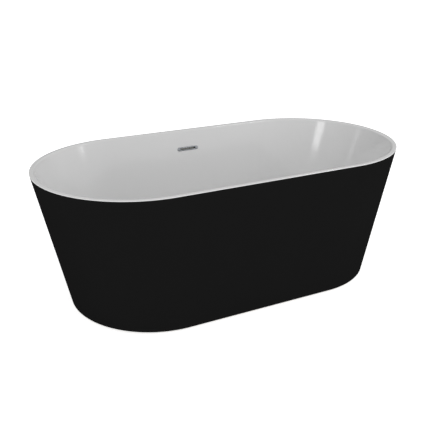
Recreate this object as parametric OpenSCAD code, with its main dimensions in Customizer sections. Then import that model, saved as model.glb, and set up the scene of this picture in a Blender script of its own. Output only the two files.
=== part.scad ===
// Freestanding double-skinned bathtub, stadium plan, with frame, levelling feet, slot overflow,
// click-clack waste and shallow trap. Millimetres, +Z up, floor at z = 0, X along the bath.

/* [Bath] */
// Overall length over the rim
tub_l = 1600; // [1400:10:1900]
// Overall width over the rim
tub_w = 820; // [740:10:900]
// Height of the rim above the floor
tub_h = 574; // [540:2:700]
// How much shorter the bath is at the bottom edge, at each end
end_batter = 117; // [60:1:130]
// How much narrower the bath is at the bottom edge, at each side
side_batter = 53; // [20:1:60]
// Gap between the bottom edge of the skirt and the floor
skirt_gap = 6; // [3:1:12]
// Wall thickness of the outer skirt
skirt_wall = 4; // [3:0.5:6]

/* [Basin] */
// Width of the flat rim from its outer to its inner edge
rim_band = 20; // [18:1:40]
// Thickness of the rim at its outer edge
rim_lip = 3; // [2.5:0.5:10]
// Roundover of the rim's inner edge
rim_round = 8; // [4:1:10]
// Thickness of the acrylic sheet
acrylic = 5; // [4:0.5:7]
// Thickness of the glass-fibre reinforcement
grp = 3; // [2:0.5:5]
// Depth from the rim to the basin floor
basin_depth = 434; // [380:2:460]
// Radius between the basin floor and its walls
floor_fillet = 100; // [70:5:130]
// Lean of the side walls, sideways travel per unit of height
side_lean = 0.24; // [0.2:0.01:0.28]
// Lean of the end walls, lengthways travel per unit of height
end_lean = 0.40; // [0.3:0.01:0.5]

/* [Frame] */
// Side of the square steel tube
tube = 25; // [20:5:30]
// Wall of the square steel tube
tube_wall = 1.5; // [1.2:0.1:2]
// Length of the long rails
rail_l = 1000; // [900:10:1060]
// Distance between the centres of the long rails
rail_gauge = 340; // [320:10:380]
// Thickness of the base board
board_t = 15; // [12:1:18]
// Distance of the outer cross rails from the middle
cross_x_outer = 450; // [420:5:480]
// Distance of the inner cross rails from the middle
cross_x_inner = 225; // [215:5:260]
// Distance of the skirt brackets from the middle
bracket_x = 300; // [260:10:310]

/* [Feet] */
// Distance of the feet from the middle
foot_x = 385; // [350:5:400]
// Diameter of the foot pads
pad_d = 48; // [40:2:60]
// Diameter of the threaded stems
stem_d = 12; // [10:1:14]
// Travel of a foot below its rest height
foot_travel = 20; // [10:1:22]

/* [Waste and overflow] */
// Distance of the waste and the overflow from the middle, along the bath
drain_x = 0; // [-20:5:20]
// Height of the overflow slot below the rim
overflow_drop = 85; // [80:1:95]
// Length of the overflow cover
cover_l = 106; // [100:1:112]
// Height of the overflow cover
cover_h = 18; // [16:1:22]
// Diameter of the waste flange
flange_d = 70; // [66:1:72]
// Travel of the click-clack plug
plug_travel = 10; // [8:1:10]
// Outside diameter of the trap's pipe
pipe_d = 40; // [36:1:42]
// Outside diameter of the overflow hose
hose_d = 20; // [18:1:20]
// Length of the outlet pipe that stands clear of its nut
outlet_free = 30; // [20:1:35]

/* [Hidden] */
$fn = 64;

// Colours
c_white = "#e9e9e9";
c_black = "#181818";
c_grp = "#c9c4a4";
c_board = "#b08d5c";
c_steel = "#a9adb0";
c_chrome = "#d5d8db";
c_rubber = "#242424";
c_plastic = "#dcdcd8";
c_dark = "#3a3c3f";
c_glue = "#d8d5cc";

// Clearances
fit_run = 0.05;    // radial, between pieces that slide or screw in each other
fit_free = 0.5;    // radial, round a stem or a screw that passes through
eps = 1;           // overrun of a cutting tool past a face

// Skirt lines
skirt_h = tub_h - skirt_gap;
end_slope = end_batter / skirt_h;
side_slope = side_batter / skirt_h;
lip_z = tub_h - rim_lip;
// half length and half width of the outer face at height z; it is widest just under the rim's
// rounded edge
rim_edge = 2;
function below_edge(z) = max(0, tub_h - rim_edge - z);
function outer_x(z) = tub_l / 2 - end_slope * below_edge(z);
function outer_y(z) = tub_w / 2 - side_slope * below_edge(z);
// and of the skirt's inner face
function skirt_in_x(z) = outer_x(z) - skirt_wall * sqrt(1 + end_slope * end_slope);
function skirt_in_y(z) = outer_y(z) - skirt_wall * sqrt(1 + side_slope * side_slope);

// Basin lines: the wall leans by slope and turns into the floor with the floor fillet.
// off is how far the surface lies outside the water face.
floor_z = tub_h - basin_depth;
function lean_angle(slope) = atan(slope);
function wall_line(top, slope, off, z) = top - slope * (tub_h - z) + off / cos(lean_angle(slope));
function fillet_h(top, slope, off) = wall_line(top, slope, 0, floor_z + floor_fillet)
    - floor_fillet / cos(lean_angle(slope));
// radius of the surface at offset off, and the height of its lowest level
function fillet_r(off) = floor_fillet + off;
function low_z(off) = floor_z - off;
function half_at(top, slope, off, z) =
    let (zc = floor_z + floor_fillet, r = fillet_r(off), zt = zc - r * sin(lean_angle(slope)))
    z >= zt ? wall_line(top, slope, off, z)
            : fillet_h(top, slope, off) + sqrt(max(0, r * r - (zc - z) * (zc - z)));
top_x = tub_l / 2 - rim_band;
top_y = tub_w / 2 - rim_band;
function basin_x(off, z) = half_at(top_x, end_lean, off, z);
function basin_y(off, z) = half_at(top_y, side_lean, off, z);

// Rim roundover at height z, from the wall's line to the flat of the rim
round_cz = tub_h - rim_round;
function round_half(top, slope, z) =
    let (a = lean_angle(slope), hc = wall_line(top, slope, 0, round_cz) + rim_round / cos(a))
    z <= round_cz + rim_round * sin(a)
        ? wall_line(top, slope, 0, z)
        : hc - sqrt(max(0, rim_round * rim_round - (z - round_cz) * (z - round_cz)));
function rim_x(z) = round_half(top_x, end_lean, z);
function rim_y(z) = round_half(top_y, side_lean, z);

// A level outline of the bath: half circles of radius hy on a straight part, at height z
arc_steps = 32;
function outline(hx, hy, z) = concat(
    [for (i = [0:arc_steps]) let (a = -90 + 180 * i / arc_steps)
        [hx - hy + hy * cos(a), hy * sin(a), z]],
    [for (i = [0:arc_steps]) let (a = 90 + 180 * i / arc_steps)
        [hy - hx + hy * cos(a), hy * sin(a), z]]);

// Faces between two outlines; the diagonal always runs from the lower one, so that two
// pieces which share a surface share its triangles too.
function strip(i, k, n, up) = [for (j = [0:n - 1])
    let (j2 = (j + 1) % n, a = i * n + j, b = i * n + j2, c = k * n + j2, d = k * n + j)
    each up ? [[a, b, c], [a, c, d]] : [[a, b, d], [b, c, d]]];

// A solid through a list of outlines: inner face upwards first, then the outer face downwards.
// An open run is capped by its first and last outline, a closed run joins its ends.
module loft(rings, closed) {
    n = len(rings[0]);
    m = len(rings);
    last = closed ? m - 1 : m - 2;
    sides = [for (i = [0:last]) let (k = (i + 1) % m)
        each strip(i, k, n, rings[i][0][2] <= rings[k][0][2])];
    caps = closed ? [] : [[for (j = [n - 1:-1:0]) j], [for (j = [0:n - 1]) (m - 1) * n + j]];
    polyhedron(points = [for (r = rings) each r], faces = concat(sides, caps), convexity = 6);
}

// Heights of the outlines down a basin surface at offset off, lowest first
fillet_steps = 8;
function fillet_levels(off) = [for (i = [0:fillet_steps])
    let (f = (90 - lean_angle(side_lean)) * i / fillet_steps)
    low_z(off) + fillet_r(off) * (1 - cos(f))];
function basin_rings(off) = [for (z = fillet_levels(off)) outline(basin_x(off, z), basin_y(off, z), z)];
function reversed(v) = [for (i = [len(v) - 1:-1:0]) v[i]];
grp_drop = 12;                       // where the reinforcement stops below the rim
grp_top = lip_z - grp_drop;
grp_off = acrylic + grp;
rim_steps = 4;

// Overflow place: on the flat of the back wall, its own axes lying in the wall
overflow_z = tub_h - overflow_drop;
module at_overflow() {
    translate([drain_x, basin_y(0, overflow_z), overflow_z])
        rotate([90 - lean_angle(side_lean), 0, 0]) children();
}

// A flat stadium, l long and w high, from height z0 to z1
module stadium(l, w, z0, z1) {
    translate([0, 0, z0]) linear_extrude(z1 - z0) {
        square([l - w, w], center = true);
        for (s = [-1, 1]) translate([s * (l - w) / 2, 0]) circle(d = w);
    }
}

// A rounded plate, l by w with corners of radius r
module rounded_plate(l, w, r, t) {
    linear_extrude(t) {
        square([l - 2 * r, w], center = true);
        square([l, w - 2 * r], center = true);
        for (x = [-1, 1], y = [-1, 1]) translate([x * (l / 2 - r), y * (w / 2 - r)]) circle(r);
    }
}

// A ring of outer diameter d and inner diameter b, from z0 to z1
module ring(d, b, z0, z1) {
    translate([0, 0, z0]) difference() {
        cylinder(d = d, h = z1 - z0);
        translate([0, 0, -eps]) cylinder(d = b, h = z1 - z0 + 2 * eps);
    }
}

// A hexagon prism, af across its flats, from z0 to z1
module hexagon(af, z0, z1) {
    translate([0, 0, z0]) cylinder(d = af / cos(30), h = z1 - z0, $fn = 6);
}

// Levels under the basin
sump_r = 42;                         // waste recess in the basin floor
sump_d = 6;
sump_z = floor_z - sump_d;
board_top = low_z(grp_off);
board_z = board_top - board_t;
rail_z = board_z - tube;
waste_hole_r = 26;

// Overflow sizes, in its own axes
boss_d = 7;
boss_edge = 3;                       // from a boss to the end of the cover
boss_x = cover_l / 2 - boss_edge - boss_d / 2;
boss_clear = 1;                      // between the slot and the heads of the screws
slot_frame = 5;
slot_l = 2 * (boss_x - boss_d - boss_clear);
slot_h = cover_h - 2 * slot_frame;
collar_wall = 1.5;
collar_l = slot_l + 2 * collar_wall;
collar_h = slot_h + 2 * collar_wall;
cover_t = 3;
overflow_seal_t = 2;
body_back = 12;                      // depth of the overflow body
body_wall = 2;
body_plate_t = 3;
spout_d = 16;
hose_gap = 2.5;                      // between the basin's back and the hose
spout_back = grp_off + hose_d / 2 + hose_gap;   // spout's centre behind the water face
spout_start = 8;                     // spout's start and end below the slot
spout_end = 50;

module overflow_cuts() {
    at_overflow() {
        stadium(collar_l + 2 * fit_free, collar_h + 2 * fit_free, -2 * grp_off, grp_off);
        for (s = [-1, 1]) translate([s * boss_x, 0, -2 * grp_off])
            cylinder(d = boss_d + 2 * fit_free, h = 3 * grp_off);
    }
}

module inner_basin() {
    rim_z0 = round_cz + rim_round * sin(lean_angle(side_lean));
    inner = concat(basin_rings(0),
        [for (i = [0:rim_steps]) let (a = lean_angle(side_lean),
            z = round_cz + rim_round * sin(a + (90 - a) * i / rim_steps))
            outline(rim_x(z), rim_y(z), z)]);
    outer = concat(
        [for (a = [0, 45, 90]) let (z = tub_h - rim_edge * (1 - cos(a)), o = rim_edge * (1 - sin(a)))
            outline(outer_x(z) - o, outer_y(z) - o, z)],
        [outline(outer_x(lip_z), outer_y(lip_z), lip_z),
         outline(basin_x(acrylic, lip_z), basin_y(acrylic, lip_z), lip_z),
         outline(basin_x(acrylic, grp_top), basin_y(acrylic, grp_top), grp_top)],
        reversed(basin_rings(acrylic)));
    color(c_white) difference() {
        union() {
            loft(concat(inner, outer), false);
            translate([drain_x, 0, sump_z - acrylic])
                cylinder(r = sump_r + acrylic, h = floor_z - acrylic / 2 - sump_z + acrylic);
        }
        translate([drain_x, 0, sump_z]) cylinder(r = sump_r, h = sump_d + eps);
        translate([drain_x, 0, sump_z - acrylic - eps])
            cylinder(r = waste_hole_r, h = acrylic + 2 * eps);
        overflow_cuts();
    }
}

module basin_reinforcement() {
    inner = concat(basin_rings(acrylic),
        [outline(basin_x(acrylic, grp_top), basin_y(acrylic, grp_top), grp_top)]);
    outer = concat([outline(basin_x(grp_off, grp_top), basin_y(grp_off, grp_top), grp_top)],
        reversed(basin_rings(grp_off)));
    color(c_grp) difference() {
        union() {
            loft(concat(inner, outer), false);
            translate([drain_x, 0, sump_z - grp_off])
                cylinder(r = sump_r + grp_off, h = sump_d + grp / 2);
        }
        translate([drain_x, 0, sump_z - acrylic]) cylinder(r = sump_r + acrylic, h = sump_d + grp_off);
        translate([drain_x, 0, sump_z - grp_off - eps])
            cylinder(r = waste_hole_r, h = grp + 2 * eps);
        overflow_cuts();
    }
}

bead_w = 6;
bead_h = 8;
module outer_skirt() {
    z0 = skirt_gap;
    z1 = lip_z - bead_h;
    color(c_black) loft([
        outline(skirt_in_x(z0), skirt_in_y(z0), z0),
        outline(skirt_in_x(z1), skirt_in_y(z1), z1),
        outline(skirt_in_x(lip_z), skirt_in_y(lip_z), lip_z),
        outline(outer_x(lip_z), outer_y(lip_z), lip_z),
        outline(outer_x(z0), outer_y(z0), z0)], true);
}

module rim_adhesive_bead() {
    z1 = lip_z - bead_h;
    color(c_glue) loft([
        outline(skirt_in_x(lip_z) - bead_w, skirt_in_y(lip_z) - bead_w, lip_z),
        outline(skirt_in_x(lip_z), skirt_in_y(lip_z), lip_z),
        outline(skirt_in_x(z1), skirt_in_y(z1), z1)], true);
}

// Frame
board_w = rail_gauge + 2 * tube;
rail_y = rail_gauge / 2;
board_hole_gap = 6;                  // between the waste recess and the board's cut-out
board_hole_r = sump_r + grp_off + board_hole_gap;
screw_xs = [-300, 0, 300];
screw_d = 4.8;
screw_head_d = 11;
screw_head_t = 3;
screw_skin = 3;                      // board left over the end of a screw's hole
module base_board() {
    color(c_board) difference() {
        translate([0, 0, board_z]) rounded_plate(rail_l + tube, board_w, board_w / 4, board_t);
        translate([drain_x, 0, board_z - eps]) cylinder(r = board_hole_r, h = board_t + 2 * eps);
        for (x = screw_xs, s = [-1, 1]) translate([x, s * rail_y, board_z - eps])
            cylinder(d = screw_d + 2 * fit_run, h = board_t - screw_skin + eps);
    }
}

// A square tube along X
module square_tube(l) {
    difference() {
        translate([-l / 2, -tube / 2, 0]) cube([l, tube, tube]);
        translate([-l / 2 - eps, tube_wall - tube / 2, tube_wall])
            cube([l + 2 * eps, tube - 2 * tube_wall, tube - 2 * tube_wall]);
    }
}

bracket_screw_d = 4;
bracket_w = 40;
bracket_t = 3;
bracket_screw_gap = 24;              // between the two screws of a bracket
bracket_screw_bite = 6;              // its length inside the rail
bracket_head_t = 2.5;
bracket_screw_z = rail_z + tube / 2;
module rail(side) {
    color(c_steel) difference() {
        translate([0, side * rail_y, rail_z]) square_tube(rail_l);
        for (x = screw_xs) translate([x, side * rail_y, rail_z - eps])
            cylinder(d = screw_d + 2 * fit_free, h = tube + 2 * eps);
        for (s = [-1, 1]) translate([s * foot_x, side * rail_y, rail_z - eps])
            cylinder(d = stem_d + 2 * fit_free, h = tube_wall + 2 * eps);
        for (s = [-1, 1], k = [-0.5, 0.5])
            translate([s * bracket_x + k * bracket_screw_gap, side * (rail_y + tube / 2 + eps),
                       bracket_screw_z])
            rotate([side * 90, 0, 0])
            cylinder(d = bracket_screw_d + 2 * fit_run, h = tube_wall + 2 * eps);
    }
}
module rail_front() { rail(-1); }
module rail_back() { rail(1); }

module cross_rail(x) {
    color(c_steel) translate([x, 0, rail_z]) rotate([0, 0, 90]) square_tube(rail_gauge - tube);
}
module cross_rail_left() { cross_rail(-cross_x_outer); }
module cross_rail_mid_left() { cross_rail(-cross_x_inner); }
module cross_rail_mid_right() { cross_rail(cross_x_inner); }
module cross_rail_right() { cross_rail(cross_x_outer); }

plug_face_t = 2;
plug_depth = 12;
module rail_end_plugs() {
    inside = tube - 2 * tube_wall - 2 * fit_run;
    color(c_dark) for (s = [-1, 1], side = [-1, 1])
        translate([s * rail_l / 2, side * rail_y, rail_z + tube / 2]) {
            translate([s * plug_face_t / 2, 0, 0]) cube([plug_face_t, tube, tube], center = true);
            translate([-s * plug_depth / 2, 0, 0]) cube([plug_depth, inside, inside], center = true);
        }
}

module board_screws() {
    color(c_steel) for (x = screw_xs, s = [-1, 1]) translate([x, s * rail_y, rail_z]) {
        cylinder(d = screw_d, h = tube + board_t - screw_skin - eps);
        translate([0, 0, -screw_head_t]) cylinder(d = screw_head_d, h = screw_head_t);
    }
}

// Skirt bracket: a strap from the rail's side to the skirt, its end turned up along the skirt
bracket_inset = 2;                   // from the bracket's tab to the rail's edges
bracket_z = rail_z + bracket_inset;
bracket_rise = 40;
module bracket(x, side) {
    face = rail_y + tube / 2;
    z0 = bracket_z;
    z1 = bracket_z + bracket_t;
    z2 = bracket_z + bracket_rise;
    z3 = rail_z + tube - bracket_inset;
    holes = [-0.5, 0.5] * bracket_screw_gap;
    difference() {
        translate([x + side * bracket_w / 2, 0, 0]) rotate([0, 0, side > 0 ? 0 : 180])
            rotate([90, 0, -90]) linear_extrude(bracket_w)
            mirror([1, 0]) polygon([[face, z0], [skirt_in_y(z0), z0], [skirt_in_y(z2), z2],
                [skirt_in_y(z2) - bracket_t, z2], [skirt_in_y(z1) - bracket_t, z1],
                [face + bracket_t, z1], [face + bracket_t, z3], [face, z3]]);
        for (k = holes) translate([x + k, side * (face + bracket_t + eps), bracket_screw_z])
            rotate([side * 90, 0, 0])
            cylinder(d = bracket_screw_d + 2 * fit_run, h = bracket_t + 2 * eps);
    }
}
module skirt_brackets() {
    color(c_steel) for (s = [-1, 1], side = [-1, 1]) bracket(s * bracket_x, side);
}
module bracket_screws() {
    face = rail_y + tube / 2 + bracket_t;
    color(c_steel) for (s = [-1, 1], side = [-1, 1], k = [-0.5, 0.5])
        translate([s * bracket_x + k * bracket_screw_gap, side * face, bracket_screw_z])
        rotate([side * 90, 0, 0]) {
            cylinder(d = bracket_screw_d, h = bracket_t + tube_wall + bracket_screw_bite);
            translate([0, 0, -bracket_head_t])
                cylinder(d = bracket_screw_d + 2 * screw_head_x, h = bracket_head_t);
        }
}

// Feet
pad_h = 10;
weld_nut_h = 8;
lock_nut_h = 7;
nut_grow = 1.5;
nut_af = stem_d * nut_grow;          // across the flats of a nut
stem_spare = 2;                      // stem left in the rail at full travel
stem_top = rail_z + foot_travel + stem_spare;
module at_feet() {
    for (s = [-1, 1], side = [-1, 1]) translate([s * foot_x, side * rail_y, 0]) children();
}
module nut(z0, z1) {
    difference() {
        hexagon(nut_af, z0, z1);
        translate([0, 0, z0 - eps]) cylinder(d = stem_d + 2 * fit_run, h = z1 - z0 + 2 * eps);
    }
}
module foot_weld_nuts() {
    color(c_steel) at_feet() nut(rail_z - weld_nut_h, rail_z);
}
module foot_lock_nuts() {
    top = rail_z - weld_nut_h;
    color(c_steel) at_feet() nut(top - lock_nut_h, top);
}
stem_hex_grow = 5;
stem_hex_af = stem_d + stem_hex_grow;   // hexagon that a spanner turns the stem by
stem_hex_h = 6;
pad_edge = 4;                        // height of the pad's rim
pad_round = 1;
module foot_stem(s, side) {
    color(c_steel) translate([s * foot_x, side * rail_y, 0]) {
        translate([0, 0, pad_h / 2]) cylinder(d = stem_d, h = stem_top - pad_h / 2);
        hexagon(stem_hex_af, pad_h, pad_h + stem_hex_h);
    }
}
module foot_pad(s, side) {
    color(c_rubber) translate([s * foot_x, side * rail_y, 0]) difference() {
        rotate_extrude() polygon([[0, 0], [pad_d / 2 - pad_round, 0], [pad_d / 2, pad_round],
            [pad_d / 2, pad_edge], [pad_d / 4 + pad_round, pad_h], [0, pad_h]]);
        translate([0, 0, pad_h / 2]) cylinder(d = stem_d + 2 * fit_run, h = pad_h);
    }
}
module foot_stem_front_left() { foot_stem(-1, -1); }
module foot_stem_front_right() { foot_stem(1, -1); }
module foot_stem_back_left() { foot_stem(-1, 1); }
module foot_stem_back_right() { foot_stem(1, 1); }
module foot_pad_front_left() { foot_pad(-1, -1); }
module foot_pad_front_right() { foot_pad(1, -1); }
module foot_pad_back_left() { foot_pad(-1, 1); }
module foot_pad_back_right() { foot_pad(1, 1); }

// Overflow
wall_back = -grp_off;
seal_back = wall_back - overflow_seal_t;
body_z = seal_back - body_back;
overflow_screw_d = 3;
overflow_screw_bite = 6;             // its length inside the cover's boss
screw_head_x = 2;                    // how much wider than its shank a small screw's head is
collar_reach = 2;                    // how far the collar enters the overflow body
module overflow_cover() {
    color(c_chrome) at_overflow() difference() {
        union() {
            stadium(cover_l, cover_h, 0, cover_t);
            stadium(collar_l, collar_h, seal_back - collar_reach, cover_t);
            for (s = [-1, 1]) translate([s * boss_x, 0, wall_back]) cylinder(d = boss_d, h = -wall_back);
        }
        stadium(slot_l, slot_h, seal_back - collar_reach - eps, cover_t + eps);
        for (s = [-1, 1]) translate([s * boss_x, 0, wall_back - eps])
            cylinder(d = overflow_screw_d + 2 * fit_run, h = overflow_screw_bite + 2 * eps);
    }
}
plate_margin = 4;                    // how far the seal and the body plate reach past the cover
plate_l = cover_l + 2 * plate_margin;
plate_h = cover_h + 2 * plate_margin;
module overflow_seal() {
    color(c_rubber) at_overflow() difference() {
        stadium(plate_l, plate_h, seal_back, wall_back);
        stadium(collar_l + 2 * fit_free, collar_h + 2 * fit_free, seal_back - eps, wall_back + eps);
        for (s = [-1, 1]) translate([s * boss_x, 0, seal_back - eps])
            cylinder(d = overflow_screw_d + 2 * fit_free, h = overflow_seal_t + 2 * eps);
    }
}
module overflow_body() {
    chamber_h = plate_h - body_wall;
    chamber_l = collar_l + 2 * (body_wall + fit_free);
    plate_z = seal_back - body_plate_t;
    color(c_plastic) at_overflow() difference() {
        union() {
            stadium(plate_l, plate_h, plate_z, seal_back);
            stadium(chamber_l, chamber_h, body_z, seal_back);
            translate([0, -spout_start, -spout_back]) rotate([90, 0, 0])
                cylinder(d = spout_d, h = spout_end - spout_start);
        }
        stadium(collar_l + 2 * fit_free, collar_h + 2 * fit_free, body_z + body_wall, seal_back + eps);
        stadium(chamber_l - 2 * body_wall, chamber_h - 2 * body_wall, body_z + body_wall, plate_z);
        translate([0, -spout_start, -spout_back]) rotate([90, 0, 0])
            cylinder(d = spout_d - 2 * body_wall, h = spout_end - spout_start + eps);
        for (s = [-1, 1]) translate([s * boss_x, 0, body_z - eps])
            cylinder(d = overflow_screw_d + 2 * fit_free, h = body_back + 2 * eps);
    }
}
module overflow_screws() {
    head_z = seal_back - body_plate_t;
    head_d = overflow_screw_d + 2 * screw_head_x;
    color(c_steel) at_overflow() for (s = [-1, 1]) translate([s * boss_x, 0, 0]) {
        translate([0, 0, head_z])
            cylinder(d = overflow_screw_d, h = wall_back + overflow_screw_bite - head_z);
        translate([0, 0, head_z - screw_head_x]) cylinder(d = head_d, h = screw_head_x);
    }
}

// A hose nut round the end of a spout that points along +Z and ends at z = 0
nut_len = 16;
hose_nut_wall = 2;
module hose_nut(spout) {
    od = hose_d + 2 * hose_nut_wall;
    translate([0, 0, -nut_len / 2]) difference() {
        cylinder(d = od, h = nut_len);
        translate([0, 0, -eps]) cylinder(d = spout + 2 * fit_run, h = nut_len);
        translate([0, 0, nut_len / 2]) cylinder(d = hose_d + 2 * fit_free, h = nut_len);
    }
}
module overflow_hose_nut() {
    color(c_dark) at_overflow() translate([0, -spout_end, -spout_back]) rotate([90, 0, 0])
        hose_nut(spout_d);
}

// Corrugated hose from the overflow down behind the basin, under the back rail and in to the
// waste. Its inner points are chosen by hand, in the plane x = drain_x.
inlet_z = 97;                        // the waste's side inlet: its height and its reach
inlet_y = 56;
hose_straight = 10;                  // straight run of the hose inside each nut
lean_s = sin(lean_angle(side_lean));
lean_c = cos(lean_angle(side_lean));
function overflow_point(up, out) = [drain_x, basin_y(0, overflow_z) + up * lean_s - out * lean_c,
    overflow_z + up * lean_c + out * lean_s];
hose_points = concat(
    [for (i = [0:2]) overflow_point(-spout_end - i * hose_straight, -spout_back)],
    [for (p = [[366, 350], [356, 290], [346, 230], [334, 175], [314, 125], [282, 89], [240, 72],
               [195, 68], [150, 70], [112, 82]]) [drain_x, p[0], p[1]]],
    [for (i = [2:-1:0]) [drain_x, inlet_y + i * hose_straight, inlet_z]]);
hose_sides = 12;
hose_between = 3;
function spline(a, b, c, d, t) = 0.5 * ((2 * b) + (c - a) * t + (2 * a - 5 * b + 4 * c - d) * t * t
    + (3 * b - a - 3 * c + d) * t * t * t);
function swept_line(p, k) = let (m = len(p) - 1) concat(
    [for (i = [0:m - 1], j = [0:k - 1])
        spline(p[max(i - 1, 0)], p[i], p[i + 1], p[min(i + 2, m)], j / k)], [p[m]]);
function unit(v) = v / norm(v);
module overflow_hose() {
    line = swept_line(hose_points, hose_between);
    m = len(line);
    // the route lies in a plane of constant x, so x is one side vector of every ring
    pts = [for (i = [0:m - 1]) let (t = unit(line[min(i + 1, m - 1)] - line[max(i - 1, 0)]),
        u = [1, 0, 0], v = cross(t, u))
        for (j = [0:hose_sides - 1]) let (a = 360 * j / hose_sides)
        line[i] + hose_d / 2 * (cos(a) * u + sin(a) * v)];
    faces = concat([for (i = [0:m - 2]) each strip(i, i + 1, hose_sides, true)],
        [[for (j = [hose_sides - 1:-1:0]) j], [for (j = [0:hose_sides - 1]) (m - 1) * hose_sides + j]]);
    color(c_dark) polyhedron(points = pts, faces = faces, convexity = 6);
}

// Waste
seal_t = 1.5;
seal_inset = 2;                      // from the flange's edge to its seal's
flange_t = 3;
flange_z = sump_z + seal_t;
flange_top = flange_z + flange_t;
neck_d = 48;
throat_d = 41;
seat_d = 44;
seat_deep = 8.5;                     // the plug seal's seat below the flange's top
seat_z = flange_top - seat_deep;
neck_l = 28;
neck_z = flange_z - neck_l;
bar_lift = 2;                        // of the cross-bar above the neck's end
bar_z = neck_z + bar_lift;
bar_h = 6;
bar_w = 6;
hub_wall = 2.5;
cartridge_d = 14;
module at_drain() {
    translate([drain_x, 0, 0]) children();
}
module waste_top_seal() {
    color(c_rubber) at_drain() ring(flange_d - 2 * seal_inset, neck_d + 2 * fit_free, sump_z, flange_z);
}
module waste_flange() {
    color(c_chrome) at_drain() difference() {
        union() {
            difference() {
                union() {
                    translate([0, 0, flange_z]) cylinder(d = flange_d, h = flange_t);
                    translate([0, 0, neck_z]) cylinder(d = neck_d, h = flange_z - neck_z);
                }
                translate([0, 0, neck_z - eps]) cylinder(d = throat_d, h = flange_top);
                translate([0, 0, seat_z]) cylinder(d = seat_d, h = flange_top);
            }
            translate([-bar_w / 2, -neck_d / 2 + eps, bar_z]) cube([bar_w, neck_d - 2 * eps, bar_h]);
            translate([0, 0, bar_z]) cylinder(d = cartridge_d + 2 * hub_wall, h = bar_h);
        }
        translate([0, 0, bar_z - eps]) cylinder(d = cartridge_d + 2 * fit_run, h = bar_h + 2 * eps);
    }
}
under_z = sump_z - grp_off;
bottom_seal_t = 3;
waste_top = under_z - bottom_seal_t;
waste_plate_d = 72;
module waste_bottom_seal() {
    color(c_rubber) at_drain() ring(waste_plate_d, neck_d + 2 * fit_free, waste_top, under_z);
}
waste_barrel_d = 58;
waste_plate_t = 6;
neck_clear = 2;                      // between the neck's end and the chamber
chamber_top = neck_z - neck_clear;
chamber_z = 84;
spigot_z = 62;
chamber_d = 45;
pipe_wall = 2.4;
trap_bore_d = pipe_d - 2 * pipe_wall;
module waste_body() {
    color(c_plastic) at_drain() difference() {
        union() {
            translate([0, 0, waste_top - waste_plate_t]) cylinder(d = waste_plate_d, h = waste_plate_t);
            translate([0, 0, chamber_z]) cylinder(d = waste_barrel_d, h = waste_top - chamber_z);
            translate([0, 0, spigot_z]) cylinder(d = pipe_d, h = chamber_z - spigot_z + eps);
            translate([0, 0, inlet_z]) rotate([-90, 0, 0]) cylinder(d = spout_d, h = inlet_y);
        }
        translate([0, 0, chamber_top]) cylinder(d = neck_d + 2 * fit_run, h = waste_top);
        translate([0, 0, chamber_z + body_wall]) cylinder(d = chamber_d, h = waste_top);
        translate([0, 0, spigot_z - eps]) cylinder(d = trap_bore_d, h = waste_top);
        translate([0, 0, inlet_z]) rotate([-90, 0, 0])
            cylinder(d = spout_d - 2 * body_wall, h = inlet_y + eps);
    }
}
module waste_hose_nut() {
    color(c_dark) at_drain() translate([0, inlet_y, inlet_z]) rotate([-90, 0, 0]) hose_nut(spout_d);
}

// Click-clack plug: cartridge screwed into the cross-bar, spring and piston inside it
cart_below = 10;                     // the cartridge hangs below the bar and stands above it
cart_above = 16;
cart_low = bar_z - cart_below;
cart_top = bar_z + cart_above;
cart_collar = 1.5;
piston_d = 11;
piston_h = 4;
rod_d = 6;
cart_floor = 1.5;
guide_h = 4;
piston_top = cart_top - guide_h - plug_travel;
cap_gap = 0.6;                       // under the cap when the plug is shut
cap_z = flange_top + cap_gap;
cap_d = 62;
boss_stem_d = 16;
plug_seal_t = 3;
module plug_cartridge() {
    color(c_plastic) at_drain() difference() {
        union() {
            translate([0, 0, cart_low]) cylinder(d = cartridge_d, h = cart_top - cart_low);
            translate([0, 0, bar_z + bar_h])
                cylinder(d = cartridge_d + 2 * cart_collar, h = cart_collar);
        }
        translate([0, 0, cart_low + cart_floor])
            cylinder(d = piston_d + 2 * fit_run, h = cart_top - guide_h - cart_low - cart_floor);
        translate([0, 0, cart_top - guide_h - eps]) cylinder(d = rod_d + 2 * fit_run, h = guide_h + 2 * eps);
    }
}
spring_d = piston_d - 1;
spring_wire = 1;
module plug_spring() {
    color(c_steel) at_drain()
        ring(spring_d, spring_d - 2 * spring_wire, cart_low + cart_floor, piston_top - piston_h);
}
boss_gap = 0.5;                      // between the plug's boss and the cartridge
boss_low = cart_top + boss_gap;
module plug_stem() {
    color(c_steel) at_drain() {
        translate([0, 0, piston_top - piston_h]) cylinder(d = piston_d, h = piston_h);
        translate([0, 0, piston_top - eps]) cylinder(d = rod_d, h = boss_low + 2 * eps - piston_top);
        translate([0, 0, boss_low]) cylinder(d = boss_stem_d, h = cap_z - boss_low);
    }
}
cap_t = 3;
cap_edge = 1;
module plug_cap() {
    color(c_chrome) at_drain() translate([0, 0, cap_z]) rotate_extrude()
        polygon([[0, 0], [cap_d / 2 - cap_edge, 0], [cap_d / 2, cap_edge],
                 [cap_d / 2 - cap_edge, 2 * cap_edge], [cap_d / 4, cap_t], [0, cap_t]]);
}
module plug_seal() {
    color(c_rubber) at_drain()
        ring(seat_d - 2 * fit_free, boss_stem_d, seat_z, seat_z + plug_seal_t);
}

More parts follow.
